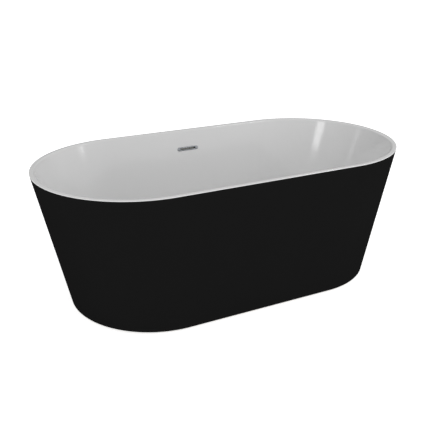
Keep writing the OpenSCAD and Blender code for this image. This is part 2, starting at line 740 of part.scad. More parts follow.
// Trap: a U-bend towards +X with a level outlet
bend_r = 34;
bend_z = 58;
elbow_r = 26;
outlet_z = bend_z + elbow_r;
leg_x = 2 * bend_r;
socket_x = leg_x + elbow_r;
socket_l = 18;
socket_wall = 3;
socket_d = pipe_d + 2 * socket_wall;
outlet_in = 10;                      // how far the outlet pipe enters the socket
trap_seal_t = 2;
trap_top = spigot_z - trap_seal_t;
module bend_up(r, d) {
    translate([r, 0, 0]) rotate([-90, 0, 0]) rotate_extrude(angle = 180) translate([r, 0]) circle(d = d);
}
module elbow_out(r, d) {
    translate([r, 0, 0]) rotate([90, 0, 0]) rotate([0, 0, 90]) rotate_extrude(angle = 90)
        translate([r, 0]) circle(d = d);
}
module trap_path(d, extra) {
    translate([0, 0, bend_z]) cylinder(d = d, h = trap_top - bend_z + extra);
    translate([0, 0, bend_z]) bend_up(bend_r, d);
    translate([leg_x, 0, bend_z]) elbow_out(elbow_r, d);
}
module trap_seal() {
    color(c_rubber) at_drain() ring(pipe_d, trap_bore_d, trap_top, spigot_z);
}
clean_d = 26;                        // cleanout boss on the side of the bend
clean_l = 30;
clean_wall = 3;
clean_z = bend_z - bend_r;
module trap_body() {
    color(c_plastic) at_drain() difference() {
        union() {
            trap_path(pipe_d, 0);
            translate([socket_x, 0, outlet_z]) rotate([0, 90, 0]) cylinder(d = socket_d, h = socket_l);
            translate([bend_r, 0, clean_z]) rotate([90, 0, 0]) cylinder(d = clean_d, h = clean_l);
        }
        trap_path(trap_bore_d, eps);
        translate([socket_x, 0, outlet_z]) rotate([0, 90, 0])
            cylinder(d = trap_bore_d, h = socket_l - outlet_in);
        translate([socket_x + socket_l - outlet_in, 0, outlet_z]) rotate([0, 90, 0])
            cylinder(d = pipe_d + 2 * fit_run, h = socket_l);
        translate([bend_r, 0, clean_z]) rotate([90, 0, 0])
            cylinder(d = clean_d - 2 * clean_wall, h = clean_l + eps);
    }
}
trap_nut_wall = 6;
trap_nut_l = 18;
module trap_nut() {
    color(c_dark) at_drain() difference() {
        translate([0, 0, bend_z]) cylinder(d = pipe_d + 2 * trap_nut_wall, h = trap_nut_l);
        translate([0, 0, bend_z - eps]) cylinder(d = pipe_d + 2 * fit_run, h = trap_nut_l + 2 * eps);
    }
}
cap_skirt = 8;                       // how far the cleanout cap reaches over its boss
module cleanout_cap() {
    color(c_dark) at_drain() translate([bend_r, -clean_l, clean_z]) rotate([90, 0, 0]) difference() {
        translate([0, 0, -cap_skirt])
            cylinder(d = clean_d + 2 * clean_wall, h = cap_skirt + clean_wall);
        translate([0, 0, -cap_skirt - eps]) cylinder(d = clean_d + 2 * fit_run, h = cap_skirt + eps);
    }
}
outlet_x0 = socket_x + socket_l - outlet_in;
nut_x0 = socket_x + socket_l;
outlet_nut_l = 10;
outlet_nut_wall = 7;
outlet_wall = 1.8;
module outlet_pipe() {
    color(c_plastic) at_drain() translate([outlet_x0, 0, outlet_z]) rotate([0, 90, 0])
        ring(pipe_d, pipe_d - 2 * outlet_wall, 0, outlet_in + outlet_nut_l + outlet_free);
}
module outlet_nut() {
    color(c_dark) at_drain() translate([nut_x0, 0, outlet_z]) rotate([0, 90, 0])
        ring(pipe_d + 2 * outlet_nut_wall, pipe_d + 2 * fit_run, 0, outlet_nut_l);
}

inner_basin();
basin_reinforcement();
outer_skirt();
rim_adhesive_bead();
base_board();
rail_front();
rail_back();
cross_rail_left();
cross_rail_mid_left();
cross_rail_mid_right();
cross_rail_right();
rail_end_plugs();
board_screws();
skirt_brackets();
bracket_screws();
foot_weld_nuts();
foot_lock_nuts();
foot_stem_front_left();
foot_stem_front_right();
foot_stem_back_left();
foot_stem_back_right();
foot_pad_front_left();
foot_pad_front_right();
foot_pad_back_left();
foot_pad_back_right();
overflow_cover();
overflow_seal();
overflow_body();
overflow_screws();
overflow_hose_nut();
overflow_hose();
waste_hose_nut();
waste_top_seal();
waste_flange();
waste_bottom_seal();
waste_body();
plug_cartridge();
plug_spring();
plug_cap();
plug_stem();
plug_seal();
trap_seal();
trap_nut();
trap_body();
cleanout_cap();
outlet_nut();
outlet_pipe();
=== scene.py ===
"""A freestanding bath: basin, skirt, steel frame, feet, overflow, waste and trap.

Profiles are in millimetres, levels in metres.
"""

import math

import bmesh
import bpy
from bpy.props import FloatProperty, FloatVectorProperty, IntProperty, PointerProperty, StringProperty
from mathutils import Matrix, Vector


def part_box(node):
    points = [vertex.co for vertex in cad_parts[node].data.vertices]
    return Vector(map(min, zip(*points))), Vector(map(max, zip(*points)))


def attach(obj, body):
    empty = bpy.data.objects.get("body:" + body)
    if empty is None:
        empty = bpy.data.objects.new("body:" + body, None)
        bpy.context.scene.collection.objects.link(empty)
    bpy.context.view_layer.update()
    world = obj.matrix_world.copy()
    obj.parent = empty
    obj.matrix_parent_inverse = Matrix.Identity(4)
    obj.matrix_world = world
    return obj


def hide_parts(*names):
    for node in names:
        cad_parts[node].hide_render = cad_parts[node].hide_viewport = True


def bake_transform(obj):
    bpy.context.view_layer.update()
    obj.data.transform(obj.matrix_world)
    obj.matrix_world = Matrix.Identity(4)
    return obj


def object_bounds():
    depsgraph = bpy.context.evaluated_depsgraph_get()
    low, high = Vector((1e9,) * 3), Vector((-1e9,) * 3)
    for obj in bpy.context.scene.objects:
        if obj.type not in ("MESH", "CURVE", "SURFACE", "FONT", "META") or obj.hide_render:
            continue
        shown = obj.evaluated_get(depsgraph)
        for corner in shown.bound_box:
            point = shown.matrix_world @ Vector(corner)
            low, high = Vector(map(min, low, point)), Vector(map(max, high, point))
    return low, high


bl_info = {
    "name": "Freestanding Bath",
    "version": (1, 0, 0),
    "blender": (4, 5, 0),
    "location": "View3D > Sidebar > Bath",
    "description": "Models a double-skinned bath with its frame, feet, overflow, waste and trap",
    "category": "Add Mesh",
}

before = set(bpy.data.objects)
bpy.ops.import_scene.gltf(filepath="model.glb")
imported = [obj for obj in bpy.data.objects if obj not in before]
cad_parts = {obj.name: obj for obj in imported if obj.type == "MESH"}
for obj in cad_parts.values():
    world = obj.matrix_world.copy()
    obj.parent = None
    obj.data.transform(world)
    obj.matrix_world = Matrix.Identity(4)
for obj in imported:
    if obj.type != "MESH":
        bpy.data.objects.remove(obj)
cad_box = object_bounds()
MM = 0.001
WELD = 0.002 * MM                   # vertices closer than this are one
BANDS = 0.314                       # scale at which a wave texture's band is one unit wide
ROUND_STEPS = 48                    # steps round a turned piece
RIM_EDGE = 2 * MM                   # rounding of the rim's outer edge
WASTE_HOLE = 26                     # radius of the hole for the waste
RECESS = 42                         # radius of the recess round the hole
RECESS_DEPTH = 6 * MM
SLOT = (41, 6.5)                    # half length and half height of the cut for the overflow
SPOUT_BACK = -20.5                  # line of the overflow's spout behind the water face
OVERFLOW_SCREWS = (-46.5, 46.5)     # places along the bath from the overflow's middle
HOSE_NUT_AT = 56                    # distance of the lower hose nut from the waste's middle
HOSE_NUT_UP = 97                    # height of the lower hose nut
FRAME_UNDERSIDE = 92                # height of the steel tubes' lower face


# Settings

def length(name, description, default, low, high):
    """A setting in metres."""
    return FloatProperty(name=name, description=description, default=default, min=low, max=high,
                         unit="LENGTH")


def colour(name, what, default):
    """A setting that holds an sRGB hex colour."""
    return StringProperty(name=name, description="Colour of the %s, as sRGB hex" % what, default=default)


class BathShellSettings(bpy.types.PropertyGroup):
    rim_band: length("Rim Band", "Width of the rim from its outer to its inner edge", 0.020, 0.01, 0.06)
    rim_lip: length("Rim Lip", "Thickness of the rim at its outer edge", 0.003, 0.0025, 0.02)
    rim_round: length("Rim Roundover", "Radius of the rim's inner edge", 0.008, 0.002, 0.015)
    depth: length("Basin Depth", "Depth from the rim to the basin floor", 0.434, 0.3, 0.5)
    floor_fillet: length("Floor Fillet", "Radius between the floor and the walls", 0.100, 0.03, 0.15)
    acrylic: length("Acrylic Sheet", "Thickness of the acrylic sheet", 0.005, 0.002, 0.01)
    laminate: length("Laminate", "Thickness of the glass fibre behind the acrylic", 0.003, 0.001, 0.01)
    side_lean: FloatProperty(name="Side Lean",
                             description="Sideways travel of the side walls per unit of height",
                             default=0.24, min=0.0, max=1.0)
    end_lean: FloatProperty(name="End Lean",
                            description="Lengthways travel of the end walls per unit of height",
                            default=0.40, min=0.0, max=1.0)
    skirt_gap: length("Skirt Gap", "Gap between the skirt and the floor", 0.006, 0.0, 0.02)
    skirt_wall: length("Skirt Wall", "Wall thickness of the skirt", 0.004, 0.002, 0.01)
    end_batter: length("End Batter", "How much the skirt draws in at each end", 0.117, 0.0, 0.3)
    side_batter: length("Side Batter", "How much the skirt draws in at each side", 0.053, 0.0, 0.2)
    overflow_drop: length("Overflow Drop", "Height of the overflow slot below the rim", 0.085, 0.05, 0.15)
    arc_steps: IntProperty(name="Arc Steps", description="Facets in each half circle of the plan",
                           default=96, min=16, max=160)


class BathColourSettings(bpy.types.PropertyGroup):
    acrylic: colour("Acrylic", "basin", "#DEDEDE")
    skirt: colour("Skirt", "skirt", "#161616")
    chrome: colour("Chrome", "chrome plate", "#9DA0A4")
    board: colour("Board", "base board", "#B58E5E")
    pipes: colour("Pipes", "white pipes", "#DEDDD6")


class BathStageSettings(bpy.types.PropertyGroup):
    azimuth: FloatProperty(name="Azimuth", description="Camera's turn round the bath",
                           default=math.radians(-26.48), subtype="ANGLE", unit="ROTATION")
    elevation: FloatProperty(name="Elevation", description="Camera's height above the horizon",
                             default=math.radians(22.26), subtype="ANGLE", unit="ROTATION")
    distance: FloatProperty(name="Distance", description="Distance from the camera to its target",
                            default=2.790, unit="LENGTH")
    target: FloatVectorProperty(name="Target", description="Point that the camera looks at",
                                default=(-0.0370, 0.0174, 0.289), subtype="XYZ", unit="LENGTH")
    lens: FloatProperty(name="Lens", description="Focal length in millimetres on a 36 mm sensor",
                        default=53.685)
    horizon: FloatProperty(name="Horizon", description="Brightness of the white wall low down in front",
                           default=1.05)
    behind: FloatProperty(name="Behind", description="Brightness of the dim wall low down behind",
                          default=0.15)
    ceiling: FloatProperty(name="Ceiling", description="Brightness of the even light overhead",
                           default=0.66)
    floor_glow: FloatProperty(name="Floor Glow", description="Light that the lit floor itself gives",
                              default=0.65)


# Mesh tools

def lean_angle(slope):
    return math.atan(slope)


class BasinLines:
    """Half lengths and half widths of the basin's surfaces.

    off is how far a surface lies outside the water face.
    """

    def __init__(self, shell):
        self.shell = shell
        self.top = cad_box[1].z
        self.floor = self.top - shell.depth
        self.edges = ((cad_box[1].x - shell.rim_band, shell.end_lean),
                      (cad_box[1].y - shell.rim_band, shell.side_lean))

    def wall(self, edge, off, z):
        half, slope = edge
        return half - slope * (self.top - z) + off / math.cos(lean_angle(slope))

    def half(self, edge, off, z):
        slope, fillet = edge[1], self.shell.floor_fillet
        centre, radius = self.floor + fillet, fillet + off
        if z >= centre - radius * math.sin(lean_angle(slope)):
            return self.wall(edge, off, z)
        inner = self.wall(edge, 0, centre) - fillet / math.cos(lean_angle(slope))
        return inner + math.sqrt(max(0, radius ** 2 - (centre - z) ** 2))

    def level(self, off, z):
        return (self.half(self.edges[0], off, z), self.half(self.edges[1], off, z), z)

    def fillet(self, off, steps):
        """Levels from the floor to the straight part of the walls."""
        turn = math.pi / 2 - lean_angle(self.shell.side_lean)
        radius = self.shell.floor_fillet + off
        return [self.level(off, self.floor - off + radius * (1 - math.cos(turn * i / steps)))
                for i in range(steps + 1)]

    def rim_half(self, edge, z):
        slope, radius = edge[1], self.shell.rim_round
        centre = self.wall(edge, 0, self.top - radius) + radius / math.cos(lean_angle(slope))
        rise = z - self.top + radius
        if rise <= radius * math.sin(lean_angle(slope)):
            return self.wall(edge, 0, z)
        return centre - math.sqrt(max(0, radius ** 2 - rise ** 2))

    def rim(self, steps):
        """Levels over the roundover of the rim's inner edge, lowest first."""
        low = lean_angle(self.shell.side_lean)
        levels = []
        for i in range(steps + 1):
            turn = low + (math.pi / 2 - low) * i / steps
            z = self.top - self.shell.rim_round * (1 - math.sin(turn))
            levels.append((self.rim_half(self.edges[0], z), self.rim_half(self.edges[1], z), z))
        return levels


def skirt_level(shell, z, inwards=0.0):
    """The skirt's outer face at height z, or a face that lies inwards of it."""
    rise = cad_box[1].z - shell.skirt_gap
    level = []
    for half, batter in ((cad_box[1].x, shell.end_batter), (cad_box[1].y, shell.side_batter)):
        slope = batter / rise
        drawn_in = slope * max(0, cad_box[1].z - RIM_EDGE - z)
        level.append(half - drawn_in - inwards * math.sqrt(1 + slope ** 2))
    return (*level, z)


def disc(radius, z):
    """A round level of a radius in millimetres."""
    return (radius * MM, radius * MM, z)


def shrunk(level, by):
    return (level[0] - by, level[1] - by, level[2])


def level_ring(bm, steps):
    """A unit ring of two half circles.

    Its plan layer keeps each vertex's place on the circle and its end of the straight.
    """
    plan = bm.verts.layers.float_vector.new("plan")
    ring = bmesh.ops.create_circle(bm, segments=2 * steps, radius=1.0)["verts"]
    for vert in ring:
        vert[plan] = (vert.co.x, vert.co.y, math.copysign(1, vert.co.x))
    for vert in [v for v in ring if abs(v.co.x) < 1e-5]:
        y = math.copysign(1, vert.co.y)
        left = next(e for e in vert.link_edges if e.other_vert(vert).co.x < -1e-5)
        far = bmesh.utils.edge_split(left, vert, 0.0)[1]
        straight = next(e for e in vert.link_edges if e.other_vert(vert) is far)
        near_far = bmesh.utils.edge_split(straight, vert, 0.0)[1]
        straight = next(e for e in vert.link_edges if e.other_vert(vert) is near_far)
        near = bmesh.utils.edge_split(straight, vert, 0.0)[1]
        # Two more vertices near the ends of the straight keep the arcs' shading off its middle
        for point, side in ((vert, 1), (near, 0.97), (near_far, -0.97), (far, -1)):
            point[plan] = (0, y, side)
    return plan


def loft(bm, levels, steps):
    """Extrudes a ring through closed levels, each a half length, a half width and a height in metres."""
    before = set(bm.verts)
    plan = level_ring(bm, steps)

    def place(verts, level):
        along, across, z = level
        for vert in verts:
            x, y, side = vert[plan]
            vert.co = (side * (along - across) + across * x, across * y, z)

    ring = [v for v in bm.verts if v not in before]
    edges = list({e for v in ring for e in v.link_edges})
    place(ring, levels[0])
    for level in levels[1:] + levels[:1]:
        grown = bmesh.ops.extrude_edge_only(bm, edges=edges)["geom"]
        ring = {g for g in grown if isinstance(g, bmesh.types.BMVert)}
        edges = [e for e in {e for v in ring for e in v.link_edges} if all(v in ring for v in e.verts)]
        place(ring, level)
    bm.verts.layers.float_vector.remove(plan)
    return closed(bm, before)


def closed(bm, before, place=Matrix.Identity(4)):
    """Merges the new vertices' doubles, turns their faces outwards and moves them into place."""
    bmesh.ops.remove_doubles(bm, verts=[v for v in bm.verts if v not in before], dist=WELD)
    fresh = [v for v in bm.verts if v not in before]
    faces = list({f for v in fresh for f in v.link_faces})
    bmesh.ops.recalc_face_normals(bm, faces=faces)
    bmesh.ops.transform(bm, matrix=place, verts=fresh)
    return faces


def turned(bm, profile, place=Matrix.Identity(4), steps=ROUND_STEPS, ring=False):
    """Spins a profile of radius and height round Z. A ring's profile joins its two ends."""
    before = set(bm.verts)
    points = [bm.verts.new((r * MM, 0, z * MM)) for r, z in profile]
    pairs = list(zip(points, points[1:])) + ([(points[-1], points[0])] if ring else [])
    edges = [bm.edges.new(pair) for pair in pairs]
    bmesh.ops.spin(bm, geom=points + edges, cent=(0, 0, 0), axis=(0, 0, 1), angle=math.tau,
                   steps=steps, use_merge=True)
    return closed(bm, before, place)


def faceted(faces, radius, place):
    """Moves the vertices that lie on a radius round Z out to a hexagon of that half width."""
    back = place.inverted()
    for vert in {v for f in faces for v in f.verts}:
        spot = back @ vert.co
        if abs(math.hypot(spot.x, spot.y) - radius * MM) < 0.01 * MM:
            turn = math.atan2(spot.y, spot.x) % (math.pi / 3) - math.pi / 6
            spot.x, spot.y = spot.x / math.cos(turn), spot.y / math.cos(turn)
            vert.co = place @ spot


def ribbed(bm, faces, place, radius, height):
    """Raises every other face of a nut's side into a grip rib."""
    back = place.inverted()
    ribs = []
    for face in faces:
        spot = back @ face.calc_center_median()
        level = abs((back.to_3x3() @ face.normal).z) < 0.1
        step = round(math.atan2(spot.y, spot.x) / math.tau * ROUND_STEPS - 0.5)
        if level and math.hypot(spot.x, spot.y) > radius * MM * 0.99 and step % 2 == 0:
            ribs.append(face)
    bmesh.ops.inset_individual(bm, faces=ribs, thickness=0.35 * MM, depth=height * MM, use_even_offset=True)


def ring_profile(outer, inner, low, high, soft):
    """A ring's section with softened corners."""
    return [(inner + soft, low), (outer - soft, low), (outer, low + soft), (outer, high - soft),
            (outer - soft, high), (inner + soft, high), (inner, high - soft), (inner, low + soft)]


def at(x, y, z):
    return Matrix.Translation((x * MM, y * MM, z * MM))


def turn(degrees, axis):
    return Matrix.Rotation(math.radians(degrees), 4, axis)


def piece_of(bm, name, slot, node, sharp):
    """Turns a bmesh into a piece that stands for its node. Edges above the angle in degrees are sharp."""
    mesh = bpy.data.meshes.new(name)
    bm.to_mesh(mesh)
    bm.free()
    mesh.materials.append(finishes[slot])
    mesh.polygons.foreach_set("use_smooth", [True] * len(mesh.polygons))
    mesh.set_sharp_from_angle(angle=math.radians(sharp))
    piece = bpy.data.objects.new(name, mesh)
    bpy.context.collection.objects.link(piece)
    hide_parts(node)
    return piece


def finished(bm, name, slot, node, body="tub", sharp=32):
    """Turns a bmesh into a piece that rides on a body."""
    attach(piece_of(bm, name, slot, node, sharp), body)


def refined(node, name, slot, edge):
    """A copy of a node of the tub with merged faces and softened edges."""
    bm = bmesh.new()
    bm.from_mesh(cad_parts[node].data)
    bmesh.ops.remove_doubles(bm, verts=bm.verts, dist=WELD)
    bmesh.ops.dissolve_limit(bm, angle_limit=math.radians(0.5), verts=bm.verts, edges=bm.edges)
    corners = [e for e in bm.edges if e.is_manifold and e.calc_face_angle(0) > math.radians(40)]
    bmesh.ops.bevel(bm, geom=corners, offset=edge * MM, offset_type="OFFSET", segments=2, profile=0.5,
                    affect="EDGES", clamp_overlap=True, material=-1)
    finished(bm, name, slot, node)


# Materials

def linear(code):
    """An sRGB hex colour as a linear RGBA."""
    parts = [int(code.lstrip("#")[i:i + 2], 16) / 255 for i in (0, 2, 4)]
    return (*[c / 12.92 if c <= 0.04045 else ((c + 0.055) / 1.055) ** 2.4 for c in parts], 1.0)


def add(tree, kind, inputs=None, **settings):
    """Adds a node, sets its settings, and sets or links its inputs."""
    node = tree.nodes.new(kind)
    for key, value in settings.items():
        setattr(node, key, value)
    for key, value in (inputs or {}).items():
        if isinstance(value, bpy.types.NodeSocket):
            tree.links.new(value, node.inputs[key])
        else:
            node.inputs[key].default_value = value
    return node


def surface(name, **constants):
    """A material with its shader's constants set. Gives the material, its tree, shader and coordinates."""
    material = bpy.data.materials.new(name)
    material.use_nodes = True
    tree = material.node_tree
    shader = tree.nodes["Principled BSDF"]
    for key, value in constants.items():
        shader.inputs[key.replace("_", " ")].default_value = value
    place = add(tree, "ShaderNodeTexCoord").outputs["Object"]
    return material, tree, shader, place


def per_mm(size):
    """Texture scale that gives a pattern of this size in millimetres."""
    return 1 / (size * MM)


def mottled(tree, shader, place, dark, light, size, detail=3.0):
    """Colours the shader between two shades with noise of a size in millimetres."""
    noise = add(tree, "ShaderNodeTexNoise", {"Vector": place, "Scale": per_mm(size), "Detail": detail})
    mix = add(tree, "ShaderNodeMix",
              {"Factor": noise.outputs["Fac"], "A": linear(dark), "B": linear(light)}, data_type="RGBA")
    tree.links.new(mix.outputs["Result"], shader.inputs["Base Color"])
    return noise


def bumped(tree, shader, height, distance, strength=1.0):
    """Gives the shader a relief of a depth in millimetres."""
    bump = add(tree, "ShaderNodeBump", {"Height": height, "Distance": distance * MM, "Strength": strength})
    tree.links.new(bump.outputs["Normal"], shader.inputs["Normal"])


def worn(tree, shader, source, low, high):
    """Varies the shader's roughness between two values."""
    spread = add(tree, "ShaderNodeMapRange",
                 {"Value": source, "From Min": 0.3, "From Max": 0.7, "To Min": low, "To Max": high})
    tree.links.new(spread.outputs["Result"], shader.inputs["Roughness"])


def stretched(tree, place, scale, turn_by=(0, 0, 0)):
    mapping = add(tree, "ShaderNodeMapping", {"Vector": place, "Scale": scale, "Rotation": turn_by})
    return mapping.outputs["Vector"]


def cast_acrylic(colours):
    # Cast acrylic, vacuum formed: a deep gloss that the sheet's slow waves bend a little
    material, tree, shader, place = surface("cast_acrylic", IOR=1.49)
    shader.inputs["Base Color"].default_value = linear(colours.acrylic)
    waves = add(tree, "ShaderNodeTexNoise", {"Vector": place, "Scale": per_mm(260), "Detail": 1.0})
    haze = add(tree, "ShaderNodeTexNoise", {"Vector": place, "Scale": per_mm(35), "Detail": 4.0})
    worn(tree, shader, haze.outputs["Fac"], 0.09, 0.15)
    bumped(tree, shader, waves.outputs["Fac"], 0.9, 0.5)
    return material


def black_gelcoat(colours):
    # Pigmented gelcoat, sprayed in a mould and flatted: an even soft black with hardly any shine
    material, tree, shader, place = surface("flatted_gelcoat", IOR=1.45, Specular_IOR_Level=0.0)
    peel = add(tree, "ShaderNodeTexNoise", {"Vector": place, "Scale": per_mm(1.6), "Detail": 2.0})
    mottled(tree, shader, place, colours.skirt, "#171717", 140, 2.0)
    worn(tree, shader, peel.outputs["Fac"], 0.52, 0.62)
    bumped(tree, shader, peel.outputs["Fac"], 0.02, 0.4)
    return material


def laid_glass_fibre():
    # Chopped strand mat in polyester, rolled by hand: strands show through an uneven amber resin
    material, tree, shader, place = surface("chopped_strand_laminate", IOR=1.52)
    strands = add(tree, "ShaderNodeTexVoronoi",
                  {"Vector": stretched(tree, place, (1, 1, 0.25), (0.4, 0.7, 0.3)), "Scale": per_mm(9)},
                  feature="DISTANCE_TO_EDGE")
    mottled(tree, shader, place, "#A89B6C", "#D6CEAA", 45, 5.0)
    worn(tree, shader, strands.outputs["Distance"], 0.35, 0.6)
    bumped(tree, shader, strands.outputs["Distance"], 0.9)
    return material


def sealant_bead():
    # Polyurethane adhesive, tooled by a finger: an off-white skin with shallow drag marks
    material, tree, shader, place = surface("polyurethane_bead", Roughness=0.55)
    noise = mottled(tree, shader, place, "#C9C5B8", "#DDD9CD", 12)
    bumped(tree, shader, noise.outputs["Fac"], 0.5)
    return material


def birch_plywood(colours):
    # Sealed birch plywood, rotary cut: long grain on the faces, dark and light plies on the edges
    material, tree, shader, place = surface("birch_plywood", IOR=1.45)
    grain = add(tree, "ShaderNodeTexNoise", {"Vector": stretched(tree, place, (0.06, 1, 0.2)),
                                             "Scale": per_mm(3.5), "Detail": 5.0, "Distortion": 0.6})
    plies = add(tree, "ShaderNodeTexWave", {"Vector": place, "Scale": BANDS * per_mm(2.8), "Distortion": 0.4},
                wave_type="BANDS", bands_direction="Z")
    normal = add(tree, "ShaderNodeNewGeometry").outputs["Normal"]
    facing = add(tree, "ShaderNodeSeparateXYZ", {"Vector": normal})
    flat = add(tree, "ShaderNodeMath", {0: facing.outputs["Z"]}, operation="ABSOLUTE")
    face = add(tree, "ShaderNodeMix", {"Factor": grain.outputs["Fac"], "A": linear("#9A7446"),
                                       "B": linear(colours.board)}, data_type="RGBA")
    side = add(tree, "ShaderNodeMix", {"Factor": plies.outputs["Fac"], "A": linear("#7A5833"),
                                       "B": linear("#C39C6B")}, data_type="RGBA")
    both = add(tree, "ShaderNodeMix", {"Factor": flat.outputs["Value"], "A": side.outputs["Result"],
                                       "B": face.outputs["Result"]}, data_type="RGBA")
    tree.links.new(both.outputs["Result"], shader.inputs["Base Color"])
    worn(tree, shader, grain.outputs["Fac"], 0.42, 0.62)
    bumped(tree, shader, grain.outputs["Fac"], 0.15)
    return material


def zinc_plate():
    # Bright zinc on drawn steel: cool grey with cloudy patches and fine draw lines along the tube
    material, tree, shader, place = surface("bright_zinc_plate", Metallic=1.0)
    lines = add(tree, "ShaderNodeTexNoise", {"Vector": stretched(tree, place, (0.02, 1, 1)),
                                             "Scale": per_mm(1.2), "Detail": 3.0})
    clouds = mottled(tree, shader, place, "#9EA2A6", "#BDC1C4", 18)
    worn(tree, shader, clouds.outputs["Fac"], 0.28, 0.46)
    bumped(tree, shader, lines.outputs["Fac"], 0.03)
    return material


def spring_wire():
    # Drawn spring steel: darker than zinc, with a streaky satin surface
    material, tree, shader, place = surface("drawn_spring_wire", Metallic=1.0)
    noise = mottled(tree, shader, place, "#7E8186", "#A3A6AA", 1.5)
    worn(tree, shader, noise.outputs["Fac"], 0.25, 0.4)
    return material


def chrome_plate(colours):
    # Satin chrome over nickel on cast brass: a soft grey sheen with a trace of wipe marks
    material, tree, shader, place = surface("chrome_plate", Metallic=1.0)
    shader.inputs["Base Color"].default_value = linear(colours.chrome)
    wipes = add(tree, "ShaderNodeTexNoise", {"Vector": stretched(tree, place, (0.2, 1, 1)),
                                             "Scale": per_mm(6), "Detail": 4.0})
    worn(tree, shader, wipes.outputs["Fac"], 0.24, 0.34)
    return material


def turned_brass():
    # Free-cutting brass off the lathe: warm, with rings from the tool
    material, tree, shader, place = surface("turned_brass", Metallic=1.0)
    rings = add(tree, "ShaderNodeTexWave", {"Vector": place, "Scale": BANDS * per_mm(0.6), "Distortion": 0.3},
                wave_type="BANDS", bands_direction="Z")
    mottled(tree, shader, place, "#B08A3E", "#CDA75A", 8)
    worn(tree, shader, rings.outputs["Fac"], 0.2, 0.32)
    bumped(tree, shader, rings.outputs["Fac"], 0.02)
    return material


def moulded(name, dark, light, grit, low, high, relief):
    """A moulded rubber or plastic with a spark-eroded grit in millimetres and a roughness range."""
    material, tree, shader, place = surface(name, IOR=1.5)
    fine = add(tree, "ShaderNodeTexNoise", {"Vector": place, "Scale": per_mm(grit), "Detail": 3.0})
    broad = mottled(tree, shader, place, dark, light, 22)
    worn(tree, shader, broad.outputs["Fac"], low, high)
    bumped(tree, shader, fine.outputs["Fac"], relief)
    return material


def make_finishes(colours):
    """All of the bath's finishes, by the record's slot name."""
    return {
        "white_acrylic": cast_acrylic(colours),
        "black_acrylic": black_gelcoat(colours),
        "glass_fibre": laid_glass_fibre(),
        "adhesive": sealant_bead(),
        "plywood": birch_plywood(colours),
        "zinc_steel": zinc_plate(),
        "spring_steel": spring_wire(),
        "chrome": chrome_plate(colours),
        "brass": turned_brass(),
        # EPDM rubber, moulded: a dead black with a bloom of grey
        "black_rubber": moulded("moulded_epdm", "#1A1A1A", "#262625", 0.8, 0.6, 0.8, 0.04),
        # Nitrile rubber with floor dust in its grain
        "foot_rubber": moulded("moulded_nitrile", "#1C1C1B", "#2C2B29", 1.2, 0.65, 0.85, 0.08),
        # Black polypropylene, spark-eroded mould: a waxy dark grey
        "black_plastic": moulded("black_polypropylene", "#2B2C2E", "#37383B", 0.7, 0.4, 0.55, 0.03),
        # Grey polyethylene, blow moulded: softer and paler than the nuts
        "hose_plastic": moulded("blown_polyethylene", "#8A8C8E", "#9C9EA0", 1.5, 0.45, 0.6, 0.05),
        # White polypropylene, moulded: slightly yellow and waxy
        "white_plastic": moulded("white_polypropylene", "#D2D1C9", colours.pipes, 0.9, 0.32, 0.48, 0.03),
    }


finishes = {}


# The bath's own shapes

def overflow_place(shell):
    """Axes that lie in the back wall at the overflow: along the bath, up the wall and into the basin."""
    lines = BasinLines(shell)
    z = lines.top - shell.overflow_drop
    y = lines.half(lines.edges[1], 0, z)
    return Matrix.Translation((0, y, z)) @ turn(90 - math.degrees(lean_angle(shell.side_lean)), "X")


def cut_slot(bm, place, half_long, half_high):
    """Cuts a slot through both skins of the back wall and joins the skins round its edge."""
    back = place.inverted()
    facing = place.to_3x3() @ Vector((0, 0, 1))
    parallel, reach = 0.99998, 12 * MM

    def skins():
        flat = [f for f in bm.faces if abs(f.normal.dot(facing)) > parallel]
        return [f for f in flat if abs((back @ f.calc_center_median()).z) < reach]

    for side in (-1, 1):
        for spot in (Vector((side * half_long * MM, 0, 0)), Vector((0, side * half_high * MM, 0))):
            faces = skins()
            edges = list({e for f in faces for e in f.edges})
            verts = list({v for f in faces for v in f.verts})
            bmesh.ops.bisect_plane(bm, geom=verts + edges + faces, dist=0.001 * MM, plane_co=place @ spot,
                                   plane_no=place.to_3x3() @ spot)
            bm.normal_update()
    hole = []
    for face in skins():
        spot = back @ face.calc_center_median()
        if abs(spot.x) < half_long * MM and abs(spot.y) < half_high * MM:
            hole.append(face)
    bmesh.ops.delete(bm, geom=hole, context="FACES")
    bmesh.ops.bridge_loops(bm, edges=[e for e in bm.edges if e.is_boundary])
    bmesh.ops.recalc_face_normals(bm, faces=bm.faces)


def screw(bm, place, head, thick, shank, reach):
    """A domed screw with a hexagon socket: its shank runs up local Z from the underside of its head."""
    socket = head * 0.42
    faces = turned(bm, [(0, -thick * 0.45), (socket, -thick * 0.45), (socket, -thick), (head * 0.66, -thick),
                        (head * 0.9, -thick * 0.72), (head, -thick * 0.3), (head, 0), (shank, 0),
                        (shank, reach - shank), (shank * 0.4, reach), (0, reach)], place, steps=24)
    faceted(faces, socket, place)


def nut(bm, place, half_flats, bore, low, high):
    """A hexagon nut with chamfered corners."""
    faces = turned(bm, [(bore + 0.5, low), (half_flats - 0.5, low), (half_flats, low + 0.7),
                        (half_flats, high - 0.7), (half_flats - 0.5, high), (bore + 0.5, high),
                        (bore, high - 0.5), (bore, low + 0.5)], place, steps=24, ring=True)
    faceted(faces, half_flats, place)


def grip_nut(bm, place, profile, radius, ring=True):
    """A hand nut with grooves all round its side."""
    ribbed(bm, turned(bm, profile, place, ring=ring), place, radius, -0.6)


def spline(points, between):
    """A smooth line through the points."""
    line = []
    last = len(points) - 1
    for i in range(last):
        a, b, c, d = points[max(i - 1, 0)], points[i], points[i + 1], points[min(i + 2, last)]
        for j in range(between):
            t = j / between
            line.append(0.5 * ((2 * b) + (c - a) * t + (2 * a - 5 * b + 4 * c - d) * t ** 2
                               + (3 * b - a - 3 * c + d) * t ** 3))
    return line + [points[last]]


